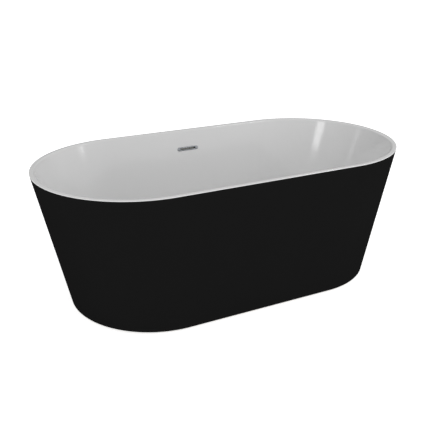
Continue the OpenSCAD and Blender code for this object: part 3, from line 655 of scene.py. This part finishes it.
def bent(bm, line):
    """Bends a straight tube that stands on Z along a line in the plane of Y and Z."""
    reach = [0.0]
    for a, b in zip(line, line[1:]):
        reach.append(reach[-1] + (b - a).length)
    for vert in bm.verts:
        along = min(max(vert.co.z, 0), reach[-1])
        i = min(max(sum(1 for r in reach if r <= along) - 1, 0), len(line) - 2)
        t = (along - reach[i]) / (reach[i + 1] - reach[i])
        here = line[i].lerp(line[i + 1], t)
        before = (line[i + 1] - line[max(i - 1, 0)]).normalized()
        after = (line[min(i + 2, len(line) - 1)] - line[i]).normalized()
        tangent = before.lerp(after, t).normalized()
        vert.co = here + Vector((vert.co.x, 0, 0)) + tangent.cross(Vector((1, 0, 0))) * vert.co.y


# Operators

class BATH_OT_finishes(bpy.types.Operator):
    """Make the bath's materials"""
    bl_idname = "bath.finishes"
    bl_label = "Finishes"

    def execute(self, context):
        finishes.update(make_finishes(context.scene.bath_colours))
        return {"FINISHED"}


class BATH_OT_stage(bpy.types.Operator):
    """Set up the camera, the pale floor and the soft studio light"""
    bl_idname = "bath.stage"
    bl_label = "Stage"

    def execute(self, context):
        stage = context.scene.bath_stage
        a, e = stage.azimuth, stage.elevation
        back = Vector((math.sin(a) * math.cos(e), -math.cos(a) * math.cos(e), math.sin(e)))
        camera = bpy.data.objects.new("camera", bpy.data.cameras.new("camera"))
        camera.data.lens = stage.lens
        camera.location = Vector(stage.target) + back * stage.distance
        camera.rotation_euler = (-back).to_track_quat("-Z", "Y").to_euler()
        context.collection.objects.link(camera)
        context.scene.camera = camera

        # Painted plywood sweep: matt white, with the faint mottle of a roller
        material, tree, shader, place = surface("matt_white_paint", Roughness=0.9, Specular_IOR_Level=0.1)
        mottled(tree, shader, place, "#F6F6F6", "#F9F9F9", 60)
        shader.inputs["Emission Color"].default_value = linear("#FFFFFF")
        shader.inputs["Emission Strength"].default_value = stage.floor_glow
        bm = bmesh.new()
        bmesh.ops.create_grid(bm, x_segments=1, y_segments=1, size=40)
        mesh = bpy.data.meshes.new("studio_floor")
        bm.to_mesh(mesh)
        bm.free()
        mesh.materials.append(material)
        floor = bpy.data.objects.new("studio_floor", mesh)
        context.collection.objects.link(floor)

        world = bpy.data.worlds.new("studio")
        world.use_nodes = True
        # A white wall in front of the bath and a dim one behind it, under an even ceiling
        height = add(world.node_tree, "ShaderNodeSeparateXYZ",
                     {"Vector": add(world.node_tree, "ShaderNodeTexCoord").outputs["Generated"]})
        wall = add(world.node_tree, "ShaderNodeMapRange",
                   {"Value": height.outputs["Y"], "From Min": -0.1, "From Max": 0.6,
                    "To Min": stage.horizon, "To Max": stage.behind}, interpolation_type="SMOOTHSTEP")
        fade = add(world.node_tree, "ShaderNodeMapRange",
                   {"Value": height.outputs["Z"], "From Min": 0.1, "From Max": 0.5,
                    "To Min": wall.outputs["Result"], "To Max": stage.ceiling},
                   interpolation_type="SMOOTHSTEP")
        sky = world.node_tree.nodes["Background"]
        sky.inputs["Color"].default_value = linear("#FFFFFF")
        world.node_tree.links.new(fade.outputs["Result"], sky.inputs["Strength"])
        context.scene.world = world
        context.scene.view_settings.view_transform = "Standard"
        for name, spot, aim, size, power in self.lamps:
            data = bpy.data.lights.new(name, "AREA")
            data.shape = "RECTANGLE"
            data.size, data.size_y = size
            data.energy = power
            lamp = bpy.data.objects.new(name, data)
            lamp.location = spot
            lamp.rotation_euler = (Vector(aim) - Vector(spot)).to_track_quat("-Z", "Y").to_euler()
            context.collection.objects.link(lamp)
        return {"FINISHED"}

    # name, place, aim, width and height in metres, power in watts
    lamps = (("window_softbox", (-1.63, -0.98, 1.66), (0.64, 0.255, 0.478), (0.45, 0.27), 2.7),
             ("right_softbox", (1.5, -1.45, 2.1), (-0.2, 0.2, 0.4), (0.5, 0.4), 9.4),
             ("low_strip", (1.787, -1.461, 1.18), (-0.514, 0.366, 0.562), (0.4, 0.03), 0.9),
             ("back_strip", (-1.7, 1.5, 1.5), (0.75, 0.07, 0.5), (0.25, 0.9), 1.1))


class BATH_OT_basin(bpy.types.Operator):
    """Model the acrylic basin with its rim, waste recess and overflow slot"""
    bl_idname = "bath.basin"
    bl_label = "Basin"

    def execute(self, context):
        shell = context.scene.bath_shell
        lines = BasinLines(shell)
        floor, sheet, top = lines.floor, shell.acrylic, lines.top

        inner = lines.fillet(0, 24)
        outer = lines.fillet(sheet, 16)
        rim = lines.rim(8)
        # The recess from its hole to the basin floor: radius in millimetres, height over its bottom
        recess = floor - RECESS_DEPTH
        levels = [disc(RECESS + wider, recess + rise * MM) for wider, rise in (
            (WASTE_HOLE - RECESS, 0), (-2.4, 0), (-1.2, 0.4), (-0.3, 1.4), (0, 2.4), (0, 4.4), (0.5, 5.5),
            (1.6, 6), (4, 6))]
        levels += [shrunk(inner[0], 0.004), *inner, lines.level(0, inner[-1][2] + 0.004),
                   lines.level(0, rim[0][2] - 0.003), *rim, shrunk(rim[-1], -0.001),
                   shrunk(skirt_level(shell, top), RIM_EDGE + 0.001)]
        corner = 6
        for i in range(corner + 1):
            a = math.pi / 2 * i / corner
            z = top - RIM_EDGE * (1 - math.cos(a))
            levels.append(shrunk(skirt_level(shell, z), RIM_EDGE * (1 - math.sin(a))))
        lip, chamfer = top - shell.rim_lip, (0.3 * MM, 0.5 * MM)
        levels += [skirt_level(shell, lip + chamfer[1]), shrunk(skirt_level(shell, lip), chamfer[0]),
                   lines.level(sheet, lip), lines.level(sheet, outer[-1][2] + 0.004), *reversed(outer),
                   disc(RECESS + sheet / MM, floor - sheet), disc(RECESS + sheet / MM, recess - sheet),
                   disc(WASTE_HOLE, recess - sheet)]
        bm = bmesh.new()
        loft(bm, levels, shell.arc_steps)
        cut_slot(bm, overflow_place(shell), *SLOT)
        finished(bm, "basin_shell", "white_acrylic", "inner_basin")
        return {"FINISHED"}


class BATH_OT_laminate(bpy.types.Operator):
    """Model the glass fibre laid up behind the basin"""
    bl_idname = "bath.laminate"
    bl_label = "Laminate"

    def execute(self, context):
        shell = context.scene.bath_shell
        lines = BasinLines(shell)
        near, far = shell.acrylic, shell.acrylic + shell.laminate
        below_lip = 12 * MM
        stop = lines.top - shell.rim_lip - below_lip
        recess = lines.floor - RECESS_DEPTH
        inside, outside = RECESS + near / MM, RECESS + far / MM
        levels = [disc(WASTE_HOLE, recess - near), disc(inside, recess - near),
                  disc(inside, lines.floor - near), *lines.fillet(near, 16), lines.level(near, stop),
                  lines.level(far, stop), *reversed(lines.fillet(far, 16)),
                  disc(outside, lines.floor - far), disc(outside, recess - far),
                  disc(WASTE_HOLE, recess - far)]
        bm = bmesh.new()
        loft(bm, levels, 64)
        cut_slot(bm, overflow_place(shell), *SLOT)
        finished(bm, "laminate_shell", "glass_fibre", "basin_reinforcement")
        return {"FINISHED"}


class BATH_OT_skirt(bpy.types.Operator):
    """Model the leaning outer skirt and the bead that bonds it under the rim"""
    bl_idname = "bath.skirt"
    bl_label = "Skirt"

    def execute(self, context):
        shell = context.scene.bath_shell
        low, high, wall = shell.skirt_gap, cad_box[1].z - shell.rim_lip, shell.skirt_wall
        soft, mid = 1.2 * MM, 0.4 * MM        # rounding of the bottom edge and its middle
        bm = bmesh.new()
        loft(bm, [skirt_level(shell, z, inwards) for z, inwards in (
            (low + soft, 0), (low + 0.004, 0), (high - 0.002, 0), (high, 0), (high, wall),
            (low + soft, wall), (low + mid, wall - mid), (low, wall - soft), (low, soft),
            (low + mid, mid))], shell.arc_steps)
        finished(bm, "skirt_shell", "black_acrylic", "outer_skirt")
        bm = bmesh.new()
        # The bead's section: how far below the rim and inwards of the skirt each corner lies
        loft(bm, [shrunk(skirt_level(shell, high - below * MM, wall), inwards * MM) for below, inwards in (
            (0, 6), (0, 0), (8, 0), (6, 0.8), (4, 2.2), (2, 3.8))], 48)
        finished(bm, "bond_bead", "adhesive", "rim_adhesive_bead")
        return {"FINISHED"}


class BATH_OT_frame(bpy.types.Operator):
    """Model the base board, the steel tubes and the skirt brackets"""
    bl_idname = "bath.frame"
    bl_label = "Frame"

    def execute(self, context):
        refined("base_board", "ply_board", "plywood", 1.0)
        for node in ("rail_front", "rail_back", "cross_rail_left", "cross_rail_mid_left",
                     "cross_rail_mid_right", "cross_rail_right"):
            refined(node, "tube_" + node, "zinc_steel", 0.7)
        refined("skirt_brackets", "skirt_straps", "zinc_steel", 0.5)
        refined("rail_end_plugs", "tube_end_plugs", "black_plastic", 0.8)
        return {"FINISHED"}


class BATH_OT_screws(bpy.types.Operator):
    """Model the screws of the board and of the skirt brackets"""
    bl_idname = "bath.screws"
    bl_label = "Screws"

    def execute(self, context):
        bm = bmesh.new()
        for x in (-300, 0, 300):
            for y in (-170, 170):
                screw(bm, at(x, y, FRAME_UNDERSIDE), 5.5, 3, 2.4, 36)
        finished(bm, "board_bolts", "zinc_steel", "board_screws")
        bm = bmesh.new()
        for x in (-312, -288, 288, 312):
            for side in (-1, 1):
                screw(bm, at(x, side * 185.5, 104.5) @ turn(side * 90, "X"), 4, 2.5, 2, 10.5)
        finished(bm, "strap_screws", "zinc_steel", "bracket_screws")
        return {"FINISHED"}


class BATH_OT_feet(bpy.types.Operator):
    """Model the threaded feet, their rubber pads and their nuts"""
    bl_idname = "bath.feet"
    bl_label = "Feet"

    def execute(self, context):
        spots = {}
        for name in ("front_left", "front_right", "back_left", "back_right"):
            low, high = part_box("foot_pad_" + name)
            spots[name] = Matrix.Translation(((low.x + high.x) / 2, (low.y + high.y) / 2, 0))
        for node, piece, low, high in (("foot_weld_nuts", "weld_nuts", 84, FRAME_UNDERSIDE),
                                       ("foot_lock_nuts", "lock_nuts", 77, 84)):
            bm = bmesh.new()
            for place in spots.values():
                nut(bm, place, 9, 6.05, low, high)
            finished(bm, piece, "zinc_steel", node)
        root, crest, pitch, hexagon = 5.35, 5.98, 1.75, 8.5
        thread = []
        for i in range(54):
            z = 17.5 + pitch * i
            thread += [(root, z), (crest, z + 0.75), (crest, z + 1.0), (root, z + 1.7)]
        stem = [(0, 5), (6, 5), (6, 10), (8, 10), (hexagon, 10.6), (hexagon, 15.4), (8, 16), (root, 16),
                *thread, (root, 113), (4.6, 114), (0, 114)]
        pad = [(0, 0.8), (8, 0.8), (9, 0), (12, 0), (13, 0.8), (16, 0.8), (17, 0), (22.6, 0), (24, 1.4),
               (24, 3.6), (23.2, 4.6), (14.5, 9.2), (13.2, 10), (6.05, 10), (6.05, 5), (0, 5)]
        for name, place in spots.items():
            bm = bmesh.new()
            faceted(turned(bm, stem, place, steps=24), hexagon, place)
            finished(bm, "threaded_stem_" + name, "zinc_steel", "foot_stem_" + name, "foot_" + name)
            bm = bmesh.new()
            ribbed(bm, turned(bm, pad, place), place, 24, -0.7)
            finished(bm, "rubber_pad_" + name, "foot_rubber", "foot_pad_" + name, "foot_" + name)
        return {"FINISHED"}


HOSE_NUT = [(8.05, 0), (8.05, -7.6), (8.5, -8), (11.4, -8), (12, -7.4), (12, 7.4), (11.4, 8), (10.9, 8),
            (10.5, 7.6), (10.5, 0)]


class BATH_OT_overflow(bpy.types.Operator):
    """Model the overflow's chrome cover, seal, body, screws and hose nut"""
    bl_idname = "bath.overflow"
    bl_label = "Overflow"

    def execute(self, context):
        place = overflow_place(context.scene.bath_shell)
        section = [(38.5, 4, -12), (38.5, 4, 1.6), (38.8, 4.3, 2.4), (39.5, 4.9, 2.85), (41, 5.6, 3.0),
                   (45, 6.6, 3.0), (49, 7.5, 2.75), (51.3, 8.2, 2.2), (52.6, 8.7, 1.4), (53, 9, 0.5),
                   (53, 9, 0), (40, 5.5, 0), (40, 5.5, -12)]
        bm = bmesh.new()
        loft(bm, [tuple(size * MM for size in level) for level in section], 32)
        bmesh.ops.transform(bm, matrix=place, verts=bm.verts)
        for x in OVERFLOW_SCREWS:
            turned(bm, [(1.55, -8), (3.5, -8), (3.5, 0.2), (0, 0.2), (0, -1), (1.55, -1)],
                   place @ at(x, 0, 0), steps=24, ring=True)
        finished(bm, "overflow_trim", "chrome", "overflow_cover")
        refined("overflow_seal", "overflow_gasket", "black_rubber", 0.4)
        refined("overflow_body", "overflow_chamber", "white_plastic", 0.4)
        bm = bmesh.new()
        for x in OVERFLOW_SCREWS:
            screw(bm, place @ at(x, 0, -13), 3.5, 2, 1.5, 11)
        finished(bm, "overflow_bolts", "zinc_steel", "overflow_screws")
        bm = bmesh.new()
        grip_nut(bm, place @ at(0, -50, SPOUT_BACK) @ turn(90, "X"), HOSE_NUT, 12)
        finished(bm, "upper_hose_nut", "black_plastic", "overflow_hose_nut")
        return {"FINISHED"}


class BATH_OT_hose(bpy.types.Operator):
    """Model the corrugated hose from the overflow to the waste"""
    bl_idname = "bath.hose"
    bl_label = "Hose"

    def execute(self, context):
        place = overflow_place(context.scene.bath_shell)
        route = [place @ Vector((0, along * MM, SPOUT_BACK * MM)) for along in (-50, -60, -70)]
        route += [Vector((0, y * MM, z * MM)) for y, z in (
            (366, 350), (356, 290), (346, 230), (334, 175), (314, 125), (282, 89), (240, 72), (195, 68),
            (150, 70), (112, 82), (HOSE_NUT_AT + 20, HOSE_NUT_UP), (HOSE_NUT_AT + 10, HOSE_NUT_UP),
            (HOSE_NUT_AT, HOSE_NUT_UP))]
        line = spline(route, 8)
        reach = sum((b - a).length for a, b in zip(line, line[1:])) / MM
        cuff, pitch = 14, 5
        sleeve, crest, root = 10, 9.9, 8.8
        turns = int((reach - 2 * cuff) / pitch)
        first = (reach - turns * pitch) / 2
        profile = [(0, 0), (sleeve, 0), (sleeve, first - 0.6)]
        for i in range(turns):
            z = first + i * pitch
            profile += [(root, z), (root, z + 1.6), (crest, z + 2.3), (crest, z + 4.3)]
        profile += [(root, reach - first), (sleeve, reach - first + 0.6), (sleeve, reach), (0, reach)]
        bm = bmesh.new()
        turned(bm, profile, steps=24)
        bent(bm, line)
        finished(bm, "corrugated_hose", "hose_plastic", "overflow_hose", sharp=50)
        return {"FINISHED"}


class BATH_OT_waste(bpy.types.Operator):
    """Model the waste's flange, seals, body and hose nut"""
    bl_idname = "bath.waste"
    bl_label = "Waste"

    def execute(self, context):
        for node, piece, outer, low, high in (("waste_top_seal", "flange_gasket", 33, 134, 135.5),
                                              ("waste_bottom_seal", "body_gasket", 36, 123, 126)):
            bm = bmesh.new()
            turned(bm, ring_profile(outer, 24.5, low, high, 0.35), steps=64, ring=True)
            finished(bm, piece, "black_rubber", node)
        bm = bmesh.new()
        turned(bm, [(20.5, 107.9), (20.5, 129.7), (20.8, 130), (22, 130), (22, 137.2), (22.4, 138),
                    (23.4, 138.5), (32.4, 138.5), (34, 138.1), (34.8, 137.2), (35, 136.2), (35, 135.5),
                    (24, 135.5), (24, 107.9), (23.6, 107.5), (20.9, 107.5)], steps=72, ring=True)
        turned(bm, ring_profile(9.5, 7.05, 109.5, 115.5, 0.4), ring=True)
        for side in (-1, 1):
            size = Matrix.Diagonal((6 * MM, 14 * MM, 6 * MM, 1))
            bar = bmesh.ops.create_cube(bm, size=1, matrix=at(0, side * 15, 112.5) @ size)["verts"]
            edges = list({e for v in bar for e in v.link_edges})
            bmesh.ops.bevel(bm, geom=edges, offset=0.6 * MM, segments=2, profile=0.5, affect="EDGES",
                            material=-1)
        finished(bm, "waste_ring", "chrome", "waste_flange")
        refined("waste_body", "waste_chamber", "white_plastic", 0.5)
        bm = bmesh.new()
        grip_nut(bm, at(0, HOSE_NUT_AT, HOSE_NUT_UP) @ turn(-90, "X"), HOSE_NUT, 12)
        finished(bm, "lower_hose_nut", "black_plastic", "waste_hose_nut")
        return {"FINISHED"}


class BATH_OT_plug(bpy.types.Operator):
    """Model the click-clack plug with its cartridge and spring"""
    bl_idname = "bath.plug"
    bl_label = "Plug"

    def execute(self, context):
        bm = bmesh.new()
        turned(bm, [(0, 99.5), (6.4, 99.5), (7, 100.1), (7, 115.5), (8.5, 115.5), (8.5, 117), (7, 117),
                    (7, 125.1), (6.6, 125.5), (3.05, 125.5), (3.05, 121.5), (5.55, 121.5), (5.55, 101),
                    (0, 101)])
        finished(bm, "click_cartridge", "white_plastic", "plug_cartridge")
        bm = bmesh.new()
        turned(bm, [(0, 107.5), (5.1, 107.5), (5.5, 107.9), (5.5, 110.8), (5.1, 111.2), (3, 111.2), (3, 126),
                    (7.6, 126), (8, 126.4), (8, 139.1), (0, 139.1)])
        finished(bm, "plug_piston", "brass", "plug_stem", "plug")
        bm = bmesh.new()
        turned(bm, [(0, 139.1), (29.5, 139.1), (30.5, 139.4), (31, 140.1), (30.7, 140.7), (29.8, 141.1),
                    (26, 141.5), (20, 141.85), (12, 142.05), (0, 142.1)], steps=96)
        finished(bm, "plug_dome", "chrome", "plug_cap", "plug")
        bm = bmesh.new()
        turned(bm, [(8, 130.3), (8.3, 130), (21, 130), (21.5, 130.5), (21.5, 132), (20.6, 132.8), (19, 133),
                    (8.3, 133), (8, 132.7)], steps=64, ring=True)
        finished(bm, "plug_gasket", "black_rubber", "plug_seal", "plug")
        self.coil()
        return {"FINISHED"}

    def coil(self):
        """The spring stretches between the cartridge's floor and the piston."""
        low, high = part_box("plug_spring")
        turns, steps, wire = 4.5, 24, 0.5
        rise = (high.z - low.z - 2 * wire * MM) / turns
        bm = bmesh.new()
        place = Matrix.Translation((high.x - wire * MM, 0, low.z + wire * MM)) @ turn(90, "X")
        loop = bmesh.ops.create_circle(bm, segments=10, radius=wire * MM, matrix=place)["verts"]
        bmesh.ops.spin(bm, geom=loop + list(bm.edges), cent=(0, 0, 0), axis=(0, 0, 1),
                       dvec=(0, 0, rise / steps), angle=math.tau * turns, steps=round(steps * turns))
        bmesh.ops.holes_fill(bm, edges=[e for e in bm.edges if e.is_boundary])
        bmesh.ops.recalc_face_normals(bm, faces=bm.faces)
        piece = piece_of(bm, "coil_spring", "spring_steel", "plug_spring", 180)
        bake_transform(piece)


class BATH_OT_trap(bpy.types.Operator):
    """Model the trap with its seal, nuts, cleanout cap and outlet pipe"""
    bl_idname = "bath.trap"
    bl_label = "Trap"

    def execute(self, context):
        bm = bmesh.new()
        turned(bm, ring_profile(20, 17.6, 60, 62, 0.3), steps=64, ring=True)
        finished(bm, "trap_gasket", "black_rubber", "trap_seal")
        bm = bmesh.new()
        grip_nut(bm, Matrix.Identity(4), ring_profile(26, 20.05, 58, 76, 0.8), 26)
        finished(bm, "trap_hand_nut", "black_plastic", "trap_nut")
        refined("trap_body", "trap_bend", "white_plastic", 0.4)
        bm = bmesh.new()
        grip_nut(bm, at(34, -30, 24) @ turn(90, "X"),
                 [(0, 0), (13.05, 0), (13.05, -7.6), (13.4, -8), (15.4, -8), (16, -7.4), (16, 2.2), (15.2, 3),
                  (10.2, 3), (9.6, 2.2), (0, 2.2)], 16, ring=False)
        finished(bm, "cleanout_plug", "black_plastic", "cleanout_cap")
        bm = bmesh.new()
        grip_nut(bm, at(112, 0, 84) @ turn(90, "Y"), ring_profile(27, 20.05, 0, 10, 0.8), 27)
        finished(bm, "outlet_hand_nut", "black_plastic", "outlet_nut")
        bm = bmesh.new()
        turned(bm, ring_profile(20, 18.2, 0, 50, 0.4), at(102, 0, 84) @ turn(90, "Y"), steps=64, ring=True)
        finished(bm, "outlet_stub", "white_plastic", "outlet_pipe")
        return {"FINISHED"}


OPERATORS = (BATH_OT_stage, BATH_OT_finishes, BATH_OT_basin, BATH_OT_laminate, BATH_OT_skirt, BATH_OT_frame,
             BATH_OT_screws, BATH_OT_feet, BATH_OT_overflow, BATH_OT_hose, BATH_OT_waste, BATH_OT_plug,
             BATH_OT_trap)


class BATH_PT_panel(bpy.types.Panel):
    """Lists the bath's settings and operators"""
    bl_idname = "BATH_PT_panel"
    bl_label = "Freestanding Bath"
    bl_space_type = "VIEW_3D"
    bl_region_type = "UI"
    bl_category = "Bath"

    def draw(self, context):
        for name in SETTINGS:
            settings = getattr(context.scene, name)
            box = self.layout.box()
            for key in settings.__annotations__:
                box.prop(settings, key)
        for operator in OPERATORS:
            self.layout.operator(operator.bl_idname)


SETTINGS = {"bath_shell": BathShellSettings, "bath_colours": BathColourSettings,
            "bath_stage": BathStageSettings}
CLASSES = (*SETTINGS.values(), *OPERATORS, BATH_PT_panel)


def register():
    for cls in CLASSES:
        bpy.utils.register_class(cls)
    for name, settings in SETTINGS.items():
        setattr(bpy.types.Scene, name, PointerProperty(type=settings))


def unregister():
    for name in SETTINGS:
        delattr(bpy.types.Scene, name)
    for cls in reversed(CLASSES):
        bpy.utils.unregister_class(cls)


def main():
    register()
    for operator in OPERATORS:
        getattr(bpy.ops.bath, operator.bl_idname.split(".")[1])()


if __name__ == "__main__":
    main()
